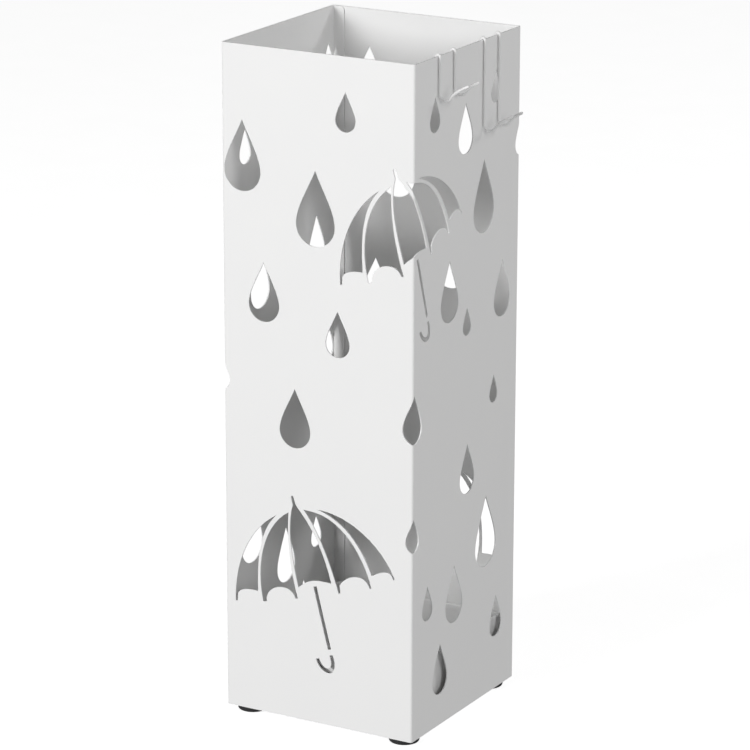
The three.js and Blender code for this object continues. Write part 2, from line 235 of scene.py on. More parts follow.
def make_floor_finish():
    """A pale matt studio floor, lit a little from within so that it stays near white."""
    shader = Shader("pale_floor")
    mottle = shader.noise(60, detail=3)
    colour = shader.mix(shader.spread(mottle, 0, 1), (0.50, 0.50, 0.50), (0.52, 0.52, 0.52))
    roughness = shader.spread(mottle, 0.75, 0.85)
    return shader.finish(colour, roughness, Emission_Color=(1, 1, 1, 1), Emission_Strength=FLOOR_GLOW)


PAINT = make_paint()
RUBBER = make_rubber()
ZINC = make_zinc()


# ---- Making pieces ----
SHARP_ANGLE = math.radians(38)
LARGE_FACES_FIRST = 100  # a weighted normal follows the large flat face beside an edge


def body_of_node(node):
    bodies = frame["record"]["behaviour"]["bodies"]
    return next(body for body, nodes in bodies.items() if node in nodes)


def shade(mesh):
    """Smooth faces, with sharp edges at steep angles and where a rounded cut edge ends."""
    layer = mesh.verts.layers.float.get("edge")
    rounded = {face for face in mesh.faces if layer and any(v[layer] for v in face.verts)}
    for face in mesh.faces:
        face.smooth = True
    for edge in mesh.edges:
        leaves_rounding = len(rounded.intersection(edge.link_faces)) == 1
        edge.smooth = edge.calc_face_angle(0) < SHARP_ANGLE and not leaves_rounding


def make_piece(name, mesh, material, node):
    """Turns a bmesh in millimetres into a piece that stands for a CAD node and rides with it."""
    bmesh.ops.recalc_face_normals(mesh, faces=mesh.faces)
    bmesh.ops.scale(mesh, vec=(MM, MM, MM), verts=mesh.verts)
    shade(mesh)
    data = bpy.data.meshes.new(name)
    mesh.to_mesh(data)
    mesh.free()
    data.materials.append(material)
    piece = bpy.data.objects.new(name, data)
    bpy.context.scene.collection.objects.link(piece)
    weighted = piece.modifiers.new("weighted_normals", "WEIGHTED_NORMAL")
    weighted.keep_sharp = True
    weighted.weight = LARGE_FACES_FIRST
    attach(piece, body_of_node(node))
    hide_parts(node)
    return piece


def band(mesh, ring, other):
    """Joins two rings of vertices of the same length with quads."""
    for i in range(len(ring)):
        j = (i + 1) % len(ring)
        mesh.faces.new((ring[i], ring[j], other[j], other[i]))


def rings(mesh, loops):
    """Lofts a list of loops of points into bands, and gives back their vertices."""
    made = [[mesh.verts.new(point) for point in loop] for loop in loops]
    for ring, other in zip(made, made[1:]):
        band(mesh, ring, other)
    return made


def ring_round(centre, angles, radius, height):
    """A ring of points whose radius and height are each a number or a function of the angle."""
    return [
        (centre.x + r * math.cos(a), centre.y + r * math.sin(a), z)
        for a in angles
        for r in [radius(a) if callable(radius) else radius]
        for z in [height(a) if callable(height) else height]
    ]


def revolve(mesh, profile, centre, segments):
    """A closed ring from a profile of (radius, height) that runs round to its own start."""
    angles = [2 * math.pi * i / segments for i in range(segments)]
    made = rings(mesh, [ring_round(centre, angles, radius, height) for radius, height in profile])
    band(mesh, made[-1], made[0])


def arc(centre, radius, start, end, steps):
    """Points on an arc from start to end degrees, both included."""
    angles = [math.radians(start + (end - start) * i / steps) for i in range(steps + 1)]
    return [(centre[0] + radius * math.cos(a), centre[1] + radius * math.sin(a)) for a in angles]


# ---- Flat sheet with rounded cut edges ----
ROUND_STEPS = 3
LEAST_SPREAD = 0.3  # keeps the inset of a sharp point short
MERGE_DISTANCE = 1e-5


def inset_directions(loop):
    """For each point of a loop, how it moves when both its edges move one unit to the left."""
    points = np.array(loop)
    along = np.roll(points, -1, 0) - points
    along /= np.linalg.norm(along, axis=1)[:, None]
    left = np.stack([-along[:, 1], along[:, 0]], 1)
    before = np.roll(left, 1, 0)
    middle = left + before
    middle /= np.linalg.norm(middle, axis=1)[:, None]
    spread = np.maximum((middle * left).sum(1), LEAST_SPREAD)
    return middle / spread[:, None]


def turned_left(loop, left):
    """The loop, reversed if need be, so that it runs anticlockwise if left is true."""
    points = np.array(loop)
    following = np.roll(points, -1, 0)
    area = (points[:, 0] * following[:, 1] - points[:, 1] * following[:, 0]).sum()
    return loop if (area > 0) == left else loop[::-1]


def edge_profile(thickness, radius):
    """Inset and depth of each ring round a cut edge, from the top face to the bottom one."""
    angles = [math.pi / 2 * i / ROUND_STEPS for i in range(ROUND_STEPS + 1)]
    quarter = [(radius * (1 - math.sin(a)), radius * (1 - math.cos(a))) for a in angles]
    return quarter + [(inset, thickness - depth) for inset, depth in reversed(quarter)]


def inside_any(points, loops):
    """Whether each point lies inside an odd number of the loops."""
    x, y = points[:, 0], points[:, 1]
    inside = np.zeros(len(points), bool)
    for loop in loops:
        corners = np.array(loop)
        for (ax, ay), (bx, by) in zip(corners, np.roll(corners, -1, 0)):
            if ay == by:
                continue
            crosses = (ay > y) != (by > y)
            inside ^= crosses & (x < ax + (y - ay) / (by - ay) * (bx - ax))
    return inside


def joined_up(borders):
    """All the borders' points in one list, and the pairs of points that they join."""
    points, joins = [], []
    for border in borders:
        first = len(points)
        points += [Vector(point) for point in border]
        joins += [(first + i, first + (i + 1) % len(border)) for i in range(len(border))]
    return points, joins


def triangulate(borders, extra_points):
    """Triangles that fill the first border but none of the others. Gives back their
    points, the triangles, and which of the points are each border's own."""
    flat, joins = joined_up(borders)
    flat += [Vector(point) for point in extra_points]
    points, _, triangles, sources, _, _ = delaunay_2d_cdt(flat, joins, [], 1, MERGE_DISTANCE)
    corners = np.array(triangles)
    middles = np.array([tuple(point) for point in points])[corners].mean(1)
    solid = inside_any(middles, borders[:1]) & ~inside_any(middles, borders[1:])
    used = {source: i for i, group in enumerate(sources) for source in group}
    own, first = [], 0
    for border in borders:
        own.append([used[first + i] for i in range(len(border))])
        first += len(border)
    return points, corners[solid], own


def round_cut_edge(mesh, edge_layer, loop, profile, top, bottom):
    """Joins the top face's ring of vertices to the bottom one's, round a cut edge."""
    directions = inset_directions(loop)
    around = [top]
    for inset, depth in profile[1:-1]:
        ring = [mesh.verts.new((*(np.array(p) + d * inset), depth)) for p, d in zip(loop, directions)]
        for vertex in ring:
            vertex[edge_layer] = 1
        around.append(ring)
    around.append(bottom)
    for ring, other in zip(around, around[1:]):
        band(mesh, ring, other)


def sheet_solid(mesh, outline, holes, thickness, extra_points):
    """A flat sheet with holes, its cut edges rounded. A vertex's z is its depth below the
    outer face. The layer "edge" is 1 on the rounded edges and 0 on the faces."""
    edge_layer = mesh.verts.layers.float.new("edge")
    loops = [turned_left(outline, True)] + [turned_left(hole, False) for hole in holes]
    profile = edge_profile(thickness, EDGE_ROUND)
    borders = [np.array(loop) + inset_directions(loop) * profile[0][0] for loop in loops]
    points, triangles, own = triangulate(borders, extra_points)
    faces = []
    for depth in (0, thickness):
        vertices = [mesh.verts.new((point.x, point.y, depth)) for point in points]
        faces.append(vertices)
        for triangle in triangles:
            mesh.faces.new([vertices[i] for i in triangle])
    for loop, used in zip(loops, own):
        top, bottom = ([vertices[i] for i in used] for vertices in faces)
        round_cut_edge(mesh, edge_layer, loop, profile, top, bottom)
    bmesh.ops.delete(mesh, geom=[v for v in mesh.verts if not v.link_faces], context="VERTS")


# ---- Cut-outs ----
# A raindrop is (distance along its wall, height of its point, width), as in the CAD
# column: distances from the wall's left edge seen from outside, heights from the sheet's
# lower edge. One that runs on past a fold is listed once, on the wall to its left or right.
LEFT, FRONT, RIGHT, BACK = range(4)
DROPS = {
    LEFT: [
        (8.5, 462, 13), (46.5, 447, 20.5), (86.5, 463.5, 13.5), (124, 421.5, 15),
        (76, 403, 30.5), (26, 338, 25), (50, 302, 12.5), (105, 330.2, 25.5), (11.8, 255.2, 18.8),
        (126, 226, 12), (88, 201, 21.3), (118.4, 147.6, 28.6), (71.1, 111.7, 25),
        (27.7, 107.9, 14.5), (130, 73, 18), (46, 63, 22),
    ],
    FRONT: [
        (16.4, 435.2, 29.3), (99, 463.2, 16), (75, 405.6, 31), (33.2, 335.3, 24.8),
        (92.7, 307.8, 19.1), (58, 246.9, 25), (154.8, 256.1, 20.6), (154.5, 166.5, 14.6),
        (-1.8, 261, 13),
    ],
    RIGHT: [
        (28.7, 460.6, 14.4), (116, 463.6, 13.5), (72.8, 448.2, 20.9), (100.2, 402.8, 30.5),
        (51.2, 340.3, 25.4), (76.7, 301, 11.8), (129, 324.6, 24.5), (117.6, 241.6, 12),
        (79, 200.1, 21.3), (108, 153.4, 31), (61, 114.6, 24.8), (21.8, 110.8, 14.8),
        (124.7, 72.7, 18.5), (40.9, 61.7, 22), (154.8, 423.5, 16.4),
    ],
    BACK: [
        (42, 434, 30), (122.5, 461, 16.5), (99.5, 402.4, 29), (55, 332, 24.5), (117, 304.4, 18.5),
        (13.5, 373.7, 14), (100, 240, 25),
    ],
}
DROP_SLENDERNESS = 1.74
DROP_POINT_HANDLE = (0.14, 0.35)
DROP_SIDE_HANDLE = (0.5, 0.88)
CURVE_STEPS = 14
ROUND_END_STEPS = 24

# Each outline of an umbrella is a start point and its edges, drawn about the canopy's hub:
# one point is a straight edge, three are a curve's two handles and its end.
UMBRELLA = [
    ((-15, -9.7), [
        ((-30, -18.3), (-50, -40.8), (-49.6, -80)), ((-47.8, -79.8),), ((-47.6, -74.4),),
        ((-46, -69.8), (-38, -68.8), (-30.6, -69.6)), ((-31.5, -45.9), (-29, -22.4), (-15, -9.7)),
    ]),
    ((-5, -5.9), [
        ((-24, -17.3), (-33.2, -45.9), (-26.4, -76.7)), ((-23.5, -76),),
        ((-25, -62.2), (-3, -58.1), (0.6, -69.9)), ((2.4, -69.1),),
        ((-3.7, -48.9), (-6.7, -28.5), (-5, -5.9)),
    ]),
    ((-2.9, 6.1), [
        ((-1.5, 0.2),), ((-6.9, -18.3), (-2.2, -38.7), (2.8, -60.9)), ((6.3, -58),),
        ((13, -52.5), (20, -52.5), (30, -53.2)), ((24.5, -32.6), (14.5, -13.2), (2.5, -1.4)),
        ((0.7, 1.2),), ((-1.2, 6.9),), ((-2.3, 7.2),),
    ]),
    ((7.4, -1.8), [
        ((18, -14.3), (28, -34.6), (35.9, -59.5)), ((37.6, -59),), ((36.7, -53.3),),
        ((42, -43.8), (58, -40.3), (61.1, -51.5)), ((62.7, -50.6),),
        ((54, -22.4), (36, -5.1), (17.3, -2.4)),
    ]),
    ((18.3, 0), [
        ((42, -4.5), (56, -24), (62.7, -41.7)), ((69, -37.7), (78, -33.1), (80.2, -41.6)),
        ((81.4, -40.7),), ((69, -14.3), (40, 1), (18.3, 0)),
    ]),
    ((15.2, -57.9), [((27.2, -103.4),), ((29.7, -102.6),), ((17.9, -57.3),)]),
    ((28.4, -107.4), [
        ((31, -114.7), (29.4, -117.9), (26, -117.7)), ((23.2, -117.1), (21.3, -114.8), (19.9, -111.2)),
        ((17.3, -112),), ((18.8, -116.4), (21.4, -120.1), (26, -121)),
        ((31.3, -122.1), (34.8, -117.2), (31.1, -106.9)),
    ]),
]
UMBRELLAS = [
    {"wall": FRONT, "hub": (57.4, 160.8), "turn": 0, "size": 1},
    {"wall": FRONT, "hub": (139.5, 407.6), "turn": 2.6, "size": 0.976},
    {"wall": BACK, "hub": (57.4, 160.8), "turn": 0, "size": 1},
]


def curve_points(start, first, second, end):
    """Points along a curve, without its end."""
    corners = [Vector((*point, 0)) for point in (start, first, second, end)]
    return [(p.x, p.y) for p in interpolate_bezier(*corners, CURVE_STEPS)][:-1]


def drop_outline(wall, along, point, width):
    middle = wall * WIDTH + along
    radius = width / 2
    centre = (middle, point - DROP_SLENDERNESS * width + radius)

    def handle(side, shares):
        return (middle + side * shares[0] * width, point - shares[1] * width)

    down = curve_points(
        (middle, point), handle(-1, DROP_POINT_HANDLE), handle(-1, DROP_SIDE_HANDLE),
        (middle - radius, centre[1]),
    )
    round_end = arc(centre, radius, 180, 360, ROUND_END_STEPS)[:-1]
    up = curve_points(
        (middle + radius, centre[1]), handle(1, DROP_SIDE_HANDLE), handle(1, DROP_POINT_HANDLE),
        (middle, point),
    )
    return down + round_end + up


def umbrella_outlines(wall, hub, turn, size):
    spin = Matrix.Rotation(math.radians(turn), 2) * size

    def place(point):
        moved = spin @ Vector(point)
        return (wall * WIDTH + hub[0] + moved.x, hub[1] + moved.y)

    outlines = []
    for start, edges in UMBRELLA:
        here, outline = start, []
        for edge in edges:
            end = edge[-1]
            if len(edge) == 1:
                outline.append(place(here))
            else:
                outline += curve_points(*(place(point) for point in (here, *edge)))
            here = end
        if here != start:
            outline.append(place(here))
        outlines.append(outline)
    return outlines


# ---- Folded column ----
BEND_RADIUS = 1.8  # outside of each fold
BEND_STEPS = 8
SEAM_GAP = 0.06  # between the back wall and the flange lapped inside it
SEAM_FOLD = SHEET + SEAM_GAP  # where the left wall turns into that flange
FLANGE = 10.0
FLANGE_START = 16.0
FLANGE_CUT = (2.0, 4.0)  # its snipped top and bottom corners
RELIEF_RADIUS = 1.0  # of the notch where the flange starts
GRID = 9.0  # spacing of the mesh's points between the cut-outs
GRID_CLEAR = 2.2
CUT_DISTANCE = 1e-4
WELD_HEIGHTS = (40, 122, 204, 286, 368, 450)
WELD_INSET = 5.5  # weld spots to the back left corner
WELD_RADIUS = 3.2
WELD_DEPTH = 0.16

# Each fold is where it lies along the sheet, its corner, and the direction and outward
# side of the wall before it and of the wall after it.
EAST, WEST = Vector((1, 0)), Vector((-1, 0))
NORTH, SOUTH = Vector((0, 1)), Vector((0, -1))
FOLDS = [
    (SEAM_FOLD, Vector((-HALF, HALF - SEAM_FOLD)), (WEST, NORTH), (SOUTH, WEST)),
    (WIDTH, Vector((-HALF, -HALF)), (SOUTH, WEST), (EAST, SOUTH)),
    (2 * WIDTH, Vector((HALF, -HALF)), (EAST, SOUTH), (NORTH, EAST)),
    (3 * WIDTH, Vector((HALF, HALF)), (NORTH, EAST), (WEST, NORTH)),
]


def folded(along, height, depth):
    """Where a point of the flat sheet lies on the folded column."""
    passed = [fold for fold in FOLDS if along >= fold[0] - BEND_RADIUS]
    at, corner, (before, before_out), (after, after_out) = passed[-1] if passed else FOLDS[0]
    offset = along - at
    if offset > BEND_RADIUS:
        place = corner + after * offset - after_out * depth
    elif offset < -BEND_RADIUS:
        place = corner + before * offset - before_out * depth
    else:
        turn = (offset / BEND_RADIUS + 1) * math.pi / 4
        centre = corner - (before_out + after_out) * BEND_RADIUS
        outward = before_out * math.cos(turn) + after_out * math.sin(turn)
        place = centre + outward * (BEND_RADIUS - depth)
    return (place.x + COLUMN_CENTRE.x, place.y + COLUMN_CENTRE.y, COLUMN_LOW.z + height)


def weld_depth(along, height):
    """How deep the dimples of the spot welds are at a point of the sheet."""
    for weld in WELD_HEIGHTS:
        reach = math.hypot(along - (4 * WIDTH - WELD_INSET), height - weld) / WELD_RADIUS
        if reach < 1:
            return WELD_DEPTH * (1 - reach * reach) ** 2
    return 0.0


def column_points(outline, holes):
    """Points that share out the sheet between its cut-outs, and rings round each weld."""
    columns = int(4 * WIDTH / GRID)
    rows = int(HEIGHT / GRID)
    grid = []
    for i in range(columns + 1):
        grid += [(GRID * (i + 0.5 * (j % 2)) + 1, GRID * (j + 0.5)) for j in range(rows)]
    for weld in WELD_HEIGHTS:
        centre = (4 * WIDTH - WELD_INSET, weld)
        for share in (0.25, 0.5, 0.75, 1.0):
            grid += arc(centre, WELD_RADIUS * share, 0, 360, 16)[:-1]
        grid.append(centre)
    points = np.array(grid)
    border = np.array([point for loop in [outline, *holes] for point in loop])
    nearest = np.array([np.hypot(*(border - point).T).min() for point in points])
    inside = inside_any(points, [outline]) & ~inside_any(points, holes)
    return points[inside & (nearest > GRID_CLEAR)]


def column_outline():
    """The flat sheet's outline, with the flange that laps inside the back wall on its left."""
    right = 4 * WIDTH - SEAM_GAP
    left = SEAM_FOLD - FLANGE
    corner = SEAM_FOLD + BEND_RADIUS
    top_cut, bottom_cut = FLANGE_CUT
    return [
        (corner, 0), (right, 0), (right, HEIGHT), (left + top_cut, HEIGHT), (left, HEIGHT - top_cut),
        (left, FLANGE_START + bottom_cut), (left + bottom_cut, FLANGE_START),
        (SEAM_FOLD - BEND_RADIUS - RELIEF_RADIUS, FLANGE_START), (SEAM_FOLD, FLANGE_START - RELIEF_RADIUS),
        (corner - 0.6, FLANGE_START - 2 * RELIEF_RADIUS), (corner, FLANGE_START - 4 * RELIEF_RADIUS),
    ]


def cut_across(mesh, place):
    """Cuts the flat sheet's faces along one upright line, so that it can bend there."""
    near = [f for f in mesh.faces if min(v.co.x for v in f.verts) < place < max(v.co.x for v in f.verts)]
    edges = {edge for face in near for edge in face.edges}
    vertices = {vertex for face in near for vertex in face.verts}
    bmesh.ops.bisect_plane(
        mesh, geom=[*near, *edges, *vertices], dist=CUT_DISTANCE,
        plane_co=(place, 0, 0), plane_no=(1, 0, 0),
    )


def make_column():
    holes = [drop_outline(wall, *drop) for wall, drops in DROPS.items() for drop in drops]
    for umbrella in UMBRELLAS:
        holes += umbrella_outlines(**umbrella)
    outline = column_outline()
    mesh = bmesh.new()
    sheet_solid(mesh, outline, holes, SHEET, column_points(outline, holes))
    for vertex in mesh.verts:
        vertex.co.z += weld_depth(vertex.co.x, vertex.co.y)
    for at, *_ in FOLDS:
        for step in range(BEND_STEPS + 1):
            cut_across(mesh, at + BEND_RADIUS * (2 * step / BEND_STEPS - 1))
    for vertex in mesh.verts:
        vertex.co = folded(*vertex.co)
    return make_piece("folded_column", mesh, PAINT, "body_shell")


# ---- Pressed pans: rounded squares lofted along a section ----
CORNER_STEPS = 8
LEAST_CORNER = 0.6  # radius


def rounded_square(centre, half, radius, height):
    """A loop of points round a square with rounded corners."""
    inset = half - radius
    loop = []
    for x, y, start in ((1, -1, -90), (1, 1, 0), (-1, 1, 90), (-1, -1, 180)):
        middle = (centre.x + x * inset, centre.y + y * inset)
        loop += [(px, py, height) for px, py in arc(middle, radius, start, start + 90, CORNER_STEPS)]
    return loop


def filled(mesh, ring, holes, height):
    """Fills a ring of vertices with a flat face that has round holes, and gives back the
    holes' rings of vertices."""
    hole_rings = [[mesh.verts.new((x, y, height)) for x, y in hole] for hole in holes]
    vertices = [vertex for loop in [ring, *hole_rings] for vertex in loop]
    flat, joins = joined_up([[v.co.xy for v in loop] for loop in [ring, *hole_rings]])
    _, _, triangles, sources, _, _ = delaunay_2d_cdt(flat, joins, [], 1, MERGE_DISTANCE)
    corners = np.array([[sources[i][0] for i in triangle] for triangle in triangles])
    middles = np.array([tuple(point) for point in flat])[corners].mean(1)
    if holes:
        corners = corners[~inside_any(middles, holes)]
    for triangle in corners:
        mesh.faces.new([vertices[i] for i in triangle])
    return hole_rings


def dish(mesh, centre, half, corner, section, holes=()):
    """A dish with square sides. Its section is a list of (distance in from the outside,
    height), from the underside's flat out and over the rim to the floor's flat."""
    made = rings(mesh, [
        rounded_square(centre, half - inset, max(corner - inset, LEAST_CORNER), height)
        for inset, height in section
    ])
    under = filled(mesh, made[0], holes, section[0][1])
    over = filled(mesh, made[-1], holes, section[-1][1])
    for ring, other in zip(under, over):
        band(mesh, ring, other)


# ---- Base pan ----
PAN_SHEET = 1.2
PAN_WALL = 1.0
PAN_LIP = 0.3  # radius of its rim's edges
PAN_BEND = 2.2
PAN_FLAT = PAN_BEND + 2  # where its bottom is flat
PAN_CORNER = 2.4
FOOT_HOLE_RADIUS = 2.3


def node_centre(node):
    low, high = box_mm(node)
    return (low + high) / 2


def make_base_pan():
    low, high = box_mm("base_pan")
    half = (high.x - low.x) / 2
    centre = (low + high) / 2
    inner = PAN_BEND - PAN_WALL
    section = [(PAN_FLAT, low.z)]
    section += arc((PAN_BEND, low.z + PAN_BEND), PAN_BEND, 270, 180, 6)
    section.append((0, high.z - PAN_LIP))
    section += arc((PAN_LIP, high.z - PAN_LIP), PAN_LIP, 180, 90, 3)[1:]
    section += arc((PAN_WALL - PAN_LIP, high.z - PAN_LIP), PAN_LIP, 90, 0, 3)
    section += arc((PAN_BEND, low.z + PAN_SHEET + inner), inner, 180, 270, 6)
    section.append((PAN_FLAT, low.z + PAN_SHEET))
    holes = []
    for place in PLACES:
        foot = node_centre(f"foot_{place}")
        holes.append(arc((foot.x, foot.y), FOOT_HOLE_RADIUS, 0, 360, 24)[:-1])
    mesh = bmesh.new()
    mesh.verts.layers.float.new("edge")
    dish(mesh, centre, half, PAN_CORNER, section, holes)
    return make_piece("bottom_pan", mesh, PAINT, "base_pan")


# ---- Drip tray ----
TRAY_BEND = 2.6
TRAY_FLAT = TRAY_BEND + 4  # where its floor is flat
TRAY_CORNER = 4.0
HEM_DEPTH = 5.0
HEM_GAP = 0.12
HEM_EDGE = 0.3  # radius of the hem's cut edge


def make_tray():
    """The sides turn in and down at the top, into a flat hem that lies against them."""
    low, high = box_mm("drip_tray")
    half = (high.x - low.x) / 2
    centre = (low + high) / 2
    hem = (2 * SHEET + HEM_GAP) / 2  # outside radius of the turn
    inner = HEM_GAP / 2
    end = high.z - HEM_DEPTH
    floor_bend = TRAY_BEND - SHEET
    section = [(TRAY_FLAT, low.z)]
    section += arc((TRAY_BEND, low.z + TRAY_BEND), TRAY_BEND, 270, 180, 6)
    section += arc((hem, high.z - hem), hem, 180, 0, 10)
    section += arc((2 * hem - HEM_EDGE, end + HEM_EDGE), HEM_EDGE, 0, -90, 3)
    section += arc((2 * hem - SHEET + HEM_EDGE, end + HEM_EDGE), HEM_EDGE, 270, 180, 3)
    section += arc((hem, high.z - hem), inner, 0, 180, 4)
    section += arc((TRAY_BEND, low.z + SHEET + floor_bend), floor_bend, 180, 270, 6)
    section.append((TRAY_FLAT, low.z + SHEET))
    mesh = bmesh.new()
    mesh.verts.layers.float.new("edge")
    dish(mesh, centre, half, TRAY_CORNER, section)
    return make_piece("hemmed_drip_tray", mesh, PAINT, "drip_tray")


# ---- Feet ----
FOOT_EDGE = 1.6  # radius of the sole's outer edge
FOOT_SEGMENTS = 64
RECESS_RADIUS = 5.0  # the counterbore for the screw's head
RECESS_TOP = 3.2
GROOVE = [(6.6, 0), (6.8, 0.35), (7.2, 0.35), (7.4, 0)]  # the ring moulded in the sole
PARTING_LINE = (2.55, 2.85, 3.0)  # heights of its lower edge, its upper edge and its step


def make_foot(place):
    """A moulded foot: a rounded skirt with a parting line, and a counterbore for its screw."""
    node = f"foot_{place}"
    low, high = box_mm(node)
    radius = (high.x - low.x) / 2
    sole = radius - FOOT_EDGE
    line_low, line_high, step = PARTING_LINE
    profile = [(FOOT_HOLE_RADIUS, high.z), (FOOT_HOLE_RADIUS, RECESS_TOP)]
    profile += arc((RECESS_RADIUS - 0.3, RECESS_TOP - 0.3), 0.3, 90, 0, 3)
    profile += [(RECESS_RADIUS, 0.4), (RECESS_RADIUS + 0.3, 0.05), (RECESS_RADIUS + 0.5, low.z)]
    profile += [*GROOVE, (sole, low.z)]
    profile += arc((sole, FOOT_EDGE), FOOT_EDGE, 270, 360, 8)[1:-1]
    profile += [(radius - 0.02, FOOT_EDGE), (radius, line_low), (radius, line_high), (radius - 0.05, step)]
    profile.append((radius - 0.25, high.z - 0.35))
    profile += arc((radius - 0.75, high.z - 0.5), 0.5, 20, 90, 4)
    mesh = bmesh.new()
    revolve(mesh, profile, (low + high) / 2, FOOT_SEGMENTS)
    return make_piece(f"rubber_foot_{place}", mesh, RUBBER, node)


WASHER_EDGE = 0.15  # radius of its stamped edges
WASHER_SEGMENTS = 48


def make_washer(place):
    node = f"foot_washer_{place}"
    low, high = box_mm(node)
    outer = (high.x - low.x) / 2 - WASHER_EDGE
    bore = FOOT_HOLE_RADIUS + WASHER_EDGE
    profile = [
        (FOOT_HOLE_RADIUS, low.z + WASHER_EDGE), (FOOT_HOLE_RADIUS, high.z - WASHER_EDGE),
        (bore, high.z), (outer, high.z),
    ]
    profile += arc((outer, high.z - WASHER_EDGE), WASHER_EDGE, 90, 0, 3)[1:]
    profile += arc((outer, low.z + WASHER_EDGE), WASHER_EDGE, 0, -90, 3)
    profile.append((bore, low.z))
    mesh = bmesh.new()
    revolve(mesh, profile, (low + high) / 2, WASHER_SEGMENTS)
    return make_piece(f"steel_washer_{place}", mesh, ZINC, node)


# ---- Screws: a pan head with a cross recess, and a rolled thread ----
SCREW_SEGMENTS = 64
SHANK_RADIUS = 2.0
THREAD_PITCH = 0.7
THREAD_DEPTH = 0.32
THREAD_STEPS = 8  # rings to one turn
HEAD_HEIGHT = 1.6
HEAD_DOME = [(2.3, 0.02), (2.8, 0.12), (3.2, 0.32), (3.5, 0.62)]  # radius, height
CROSS_REACH = 1.9  # centre to the end of each slot
CROSS_WIDTH = 0.45  # half a slot's width
CROSS_DEPTH = 1.1


def cross_reach(angle):
    """How far the cross recess reaches from the head's centre in a direction."""
    nearest = (angle + math.pi / 4) % (math.pi / 2) - math.pi / 4
    along_slot = CROSS_REACH / math.cos(nearest)
    beside_slot = CROSS_WIDTH / max(abs(math.sin(nearest)), 1e-6)
    return min(along_slot, beside_slot)


def thread_radius(angle, height):
    """The shank's radius at an angle and a height above the head."""
    phase = height / THREAD_PITCH - angle / (2 * math.pi)
    return SHANK_RADIUS - THREAD_DEPTH * abs(2 * (phase % 1) - 1)


def make_screw(place):
    node = f"foot_screw_{place}"
    low, high = box_mm(node)
    centre = (low + high) / 2
    head = (high.x - low.x) / 2
    head_top = low.z + HEAD_HEIGHT
    angles = [2 * math.pi * i / SCREW_SEGMENTS for i in range(SCREW_SEGMENTS)]

    def ring(radius, height):
        return ring_round(centre, angles, radius, height)

    loops = [
        ring(lambda a: 0.45 * cross_reach(a), low.z + CROSS_DEPTH),
        ring(lambda a: 0.8 * cross_reach(a), low.z + 0.9 * CROSS_DEPTH),
        ring(cross_reach, low.z + 0.03),
        ring(lambda a: max(1.04 * cross_reach(a), cross_reach(a) + 0.05), low.z),
    ]
    loops += [ring(radius, low.z + height) for radius, height in HEAD_DOME]
    loops += [ring(head, low.z + 1.0), ring(head, head_top - 0.1), ring(head - 0.1, head_top)]
    loops.append(ring(SHANK_RADIUS + 0.2, head_top))
    for step in range(int((high.z - 0.5 - head_top) / THREAD_PITCH * THREAD_STEPS) + 1):
        above = 0.1 + step * THREAD_PITCH / THREAD_STEPS
        loops.append(ring(lambda a, above=above: thread_radius(a, above), head_top + above))
    loops += [ring(SHANK_RADIUS - 0.35, high.z - 0.2), ring(SHANK_RADIUS - 0.6, high.z)]
    mesh = bmesh.new()
    made = rings(mesh, loops)
    mesh.faces.new(made[0])
    mesh.faces.new(made[-1])
    return make_piece(f"cross_head_screw_{place}", mesh, ZINC, node)


# ---- Nuts: hexagons with both faces chamfered to a circle ----
NUT_SEGMENTS = 72
NUT_CHAMFER = math.radians(30)
BORE_CHAMFER = 0.3


def make_nut(place):
    node = f"foot_nut_{place}"
    low, high = box_mm(node)
    centre = (low + high) / 2
    flats = (high.y - low.y) / 2
    bore = FOOT_HOLE_RADIUS
    circle = flats - 0.1
    angles = [2 * math.pi * i / NUT_SEGMENTS for i in range(NUT_SEGMENTS)]

    def side(angle):
        return flats / math.cos((angle % (math.pi / 3)) - math.pi / 6)

    def fall(angle):
        return (side(angle) - circle) * math.tan(NUT_CHAMFER)

    def ring(radius, height):
        return ring_round(centre, angles, radius, height)

    mesh = bmesh.new()
    made = rings(mesh, [
        ring(bore, low.z + BORE_CHAMFER),
        ring(bore + BORE_CHAMFER, low.z),
        ring(circle, low.z),
        ring(side, lambda a: low.z + fall(a)),
        ring(side, lambda a: high.z - fall(a)),
        ring(circle, high.z),
        ring(bore + BORE_CHAMFER, high.z),
        ring(bore, high.z - BORE_CHAMFER),
    ])
    band(mesh, made[-1], made[0])
    return make_piece(f"hex_nut_{place}", mesh, ZINC, node)


# ---- Hooks: one round wire each ----
WIRE = 1.0  # radius
WIRE_SIDES = 20
WIRE_CLEARANCE = 0.12  # to the wall, inside, outside and over the rim
CURL_RADIUS = 4.5
CURL_START = -35  # degrees round the curl where its prong leaves it
HOOK_RISE = 6.5
HOOK_CLOSING = 3.5  # how far each prong leans towards the other
PRONG_STEPS = 14
INNER_LEG = 18.0
LEG_BEND = 4.0
TIP_STEPS = 5
TIP_BULGE = 0.2  # how far an end's last point stands out, in radii of its ring


def prong(tip, curl, y):
    """Points from the tip down to the curl, flattening at the tip."""
    angle = math.radians(CURL_START)
    root = curl + Vector((math.cos(angle), 0, math.sin(angle))) * CURL_RADIUS
    near_root = root + Vector((-math.sin(angle), 0, math.cos(angle))) * 5.5
    near_tip = Vector((tip.x - 5, y + 0.6 * HOOK_CLOSING, tip.z - 2.4))
    return interpolate_bezier(tip, near_tip, near_root, root, PRONG_STEPS)[:-1]


